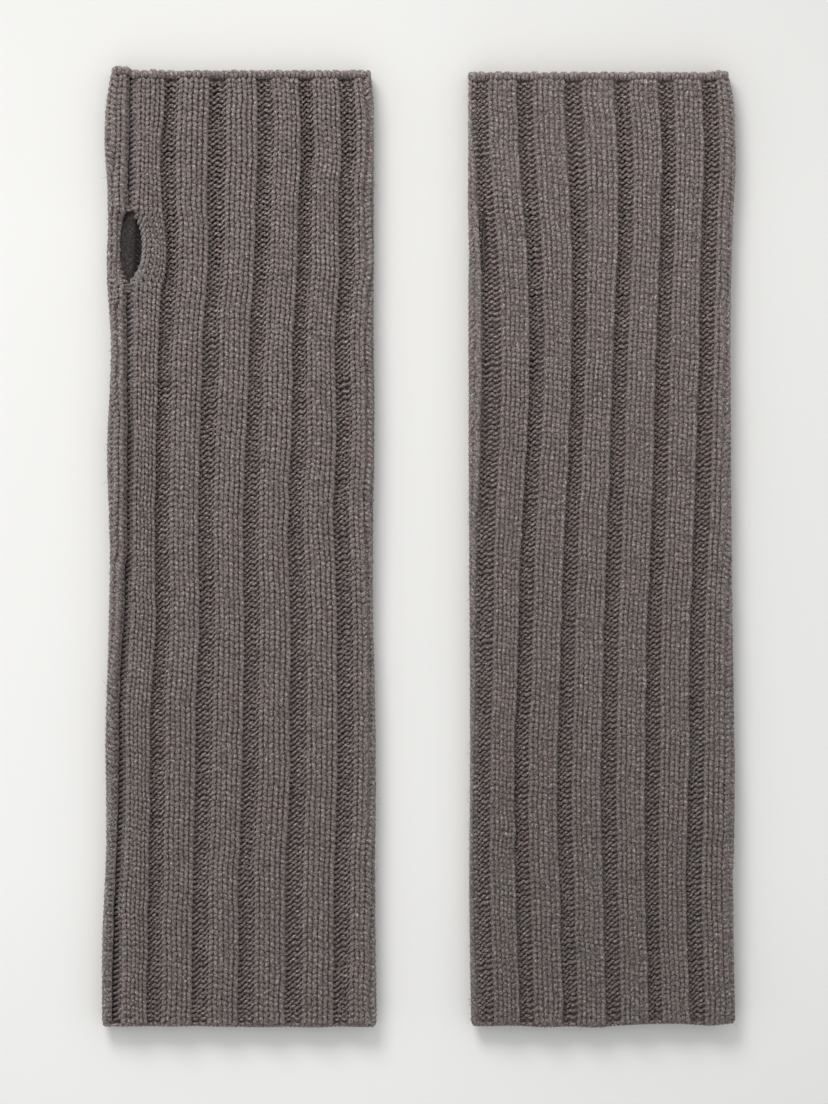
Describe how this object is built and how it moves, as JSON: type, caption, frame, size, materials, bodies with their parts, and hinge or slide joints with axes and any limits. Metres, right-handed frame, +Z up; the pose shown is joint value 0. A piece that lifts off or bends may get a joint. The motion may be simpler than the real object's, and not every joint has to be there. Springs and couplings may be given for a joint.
{
  "type": "fingerless gloves",
  "caption": "Long fingerless gloves in soft rib knit, lying flat as a pair, each a seamed tube with a thumb slit, a neat finger edge and a straight hem.",
  "frame": {"origin": "on the table the gloves lie on, midway between the two gloves and midway along their length", "axes": "+Z up from the table through the flattened gloves, +Y along the gloves from the hem towards the finger end, +X from the left glove to the right glove"},
  "size_m": [0.2518, 0.38, 0.012],
  "materials": {
    "rib_knit": "fuzzy matte wool knit",
    "seam_yarn": "matte wool yarn",
    "edge_knit": "fuzzy matte wool knit"
  },
  "bodies": {
    "left_forearm": {"left_forearm_tube": "rib_knit", "left_forearm_seam": "seam_yarn"},
    "left_cuff": {"left_cuff_tube": "rib_knit", "left_cuff_seam": "seam_yarn", "left_hem_edge": "edge_knit"},
    "left_hand": {"left_hand_tube": "rib_knit", "left_hand_seam_lower": "seam_yarn", "left_hand_seam_upper": "seam_yarn", "left_thumb_tack_lower": "seam_yarn", "left_thumb_tack_upper": "seam_yarn", "left_finger_edge": "edge_knit"},
    "right_forearm": {"right_forearm_tube": "rib_knit", "right_forearm_seam": "seam_yarn"},
    "right_cuff": {"right_cuff_tube": "rib_knit", "right_cuff_seam": "seam_yarn", "right_hem_edge": "edge_knit"},
    "right_hand": {"right_hand_tube": "rib_knit", "right_hand_seam_lower": "seam_yarn", "right_hand_seam_upper": "seam_yarn", "right_thumb_tack_lower": "seam_yarn", "right_thumb_tack_upper": "seam_yarn", "right_finger_edge": "edge_knit"}
  },
  "joints": [
    {"name": "left_wrist_fold", "type": "hinge", "parent": "left_forearm", "child": "left_hand", "pos_m": [-0.0714, 0.08, 0.0129], "axis": [1, 0, 0], "range_deg": [0, 175]},
    {"name": "left_cuff_fold", "type": "hinge", "parent": "left_forearm", "child": "left_cuff", "pos_m": [-0.0714, -0.12, 0.0129], "axis": [-1, 0, 0], "range_deg": [0, 175]},
    {"name": "right_lift", "type": "slide", "parent": "left_forearm", "child": "right_forearm", "axis": [0, 0, 1], "range_m": [0, 0.15]},
    {"name": "right_wrist_fold", "type": "hinge", "parent": "right_forearm", "child": "right_hand", "pos_m": [0.0714, 0.08, 0.0129], "axis": [1, 0, 0], "range_deg": [0, 175]},
    {"name": "right_cuff_fold", "type": "hinge", "parent": "right_forearm", "child": "right_cuff", "pos_m": [0.0714, -0.12, 0.0129], "axis": [-1, 0, 0], "range_deg": [0, 175]}
  ]
}
